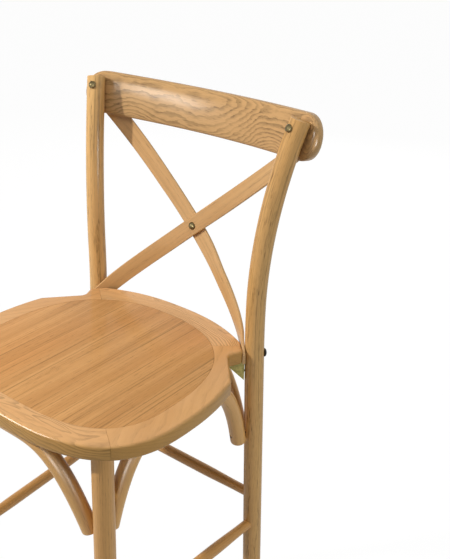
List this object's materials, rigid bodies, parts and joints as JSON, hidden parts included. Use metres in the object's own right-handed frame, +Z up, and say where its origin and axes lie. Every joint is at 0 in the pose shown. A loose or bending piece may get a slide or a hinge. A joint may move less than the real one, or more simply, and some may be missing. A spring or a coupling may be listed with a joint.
{
  "type": "cross back bar stool",
  "caption": "Tall oak bar stool: bowed crest rail, crossed bent back slats, framed full-cornered seat, splayed round legs, bentwood arch braces and stepped stretchers.",
  "frame": {"origin": "on the floor, under the middle of the stool's bounding box", "axes": "+Z up, +X to the sitter's left, +Y towards the back; the sitter faces -Y"},
  "size_m": [0.475, 0.505, 1.1317],
  "materials": {
    "oak_frame": "honey oak under satin lacquer",
    "oak_seat": "honey oak veneer under satin lacquer, grain front to back",
    "antique_brass": "antique brass, dull polish",
    "dark_steel": "black oxide",
    "bracket_steel": "olive passivated zinc",
    "glide_nylon": "matt"
  },
  "bodies": {
    "root": {"back_slat_front": "oak_frame", "back_slat_rear": "oak_frame", "bracket_post_screw_left": "dark_steel", "bracket_post_screw_right": "dark_steel", "bracket_seat_screw_left": "dark_steel", "bracket_seat_screw_right": "dark_steel", "corner_bracket_left": "bracket_steel", "corner_bracket_right": "bracket_steel", "crest_bolt_left": "antique_brass", "crest_bolt_right": "antique_brass", "crest_insert_left": "antique_brass", "crest_insert_right": "antique_brass", "crest_rail": "oak_frame", "crossing_bolt": "antique_brass", "crossing_cap_nut": "antique_brass", "foot_glide_front_left": "glide_nylon", "foot_glide_front_right": "glide_nylon", "foot_glide_rear_left": "glide_nylon", "foot_glide_rear_right": "glide_nylon", "front_arch": "oak_frame", "front_arch_screw_front_leg_left": "dark_steel", "front_arch_screw_front_leg_right": "dark_steel", "front_arch_screw_seat_front_leg_left": "dark_steel", "front_arch_screw_seat_front_leg_right": "dark_steel", "front_footrest": "oak_frame", "front_leg_left": "oak_frame", "front_leg_right": "oak_frame", "rear_arch": "oak_frame", "rear_arch_screw_rear_post_left": "dark_steel", "rear_arch_screw_rear_post_right": "dark_steel", "rear_arch_screw_seat_rear_post_left": "dark_steel", "rear_arch_screw_seat_rear_post_right": "dark_steel", "rear_post_left": "oak_frame", "rear_post_right": "oak_frame", "rear_stretcher": "oak_frame", "seat_barrel_nut_left": "dark_steel", "seat_barrel_nut_right": "dark_steel", "seat_bolt_left": "dark_steel", "seat_bolt_right": "dark_steel", "seat_front_rail": "oak_frame", "seat_panel": "oak_seat", "seat_rear_rail": "oak_frame", "seat_side_rail_left": "oak_frame", "seat_side_rail_right": "oak_frame", "side_arch_left": "oak_frame", "side_arch_left_screw_front_leg_left": "dark_steel", "side_arch_left_screw_rear_post_left": "dark_steel", "side_arch_left_screw_seat_front_leg_left": "dark_steel", "side_arch_left_screw_seat_rear_post_left": "dark_steel", "side_arch_right": "oak_frame", "side_arch_right_screw_front_leg_right": "dark_steel", "side_arch_right_screw_rear_post_right": "dark_steel", "side_arch_right_screw_seat_front_leg_right": "dark_steel", "side_arch_right_screw_seat_rear_post_right": "dark_steel", "side_stretcher_left": "oak_frame", "side_stretcher_right": "oak_frame"}
  },
  "joints": []
}
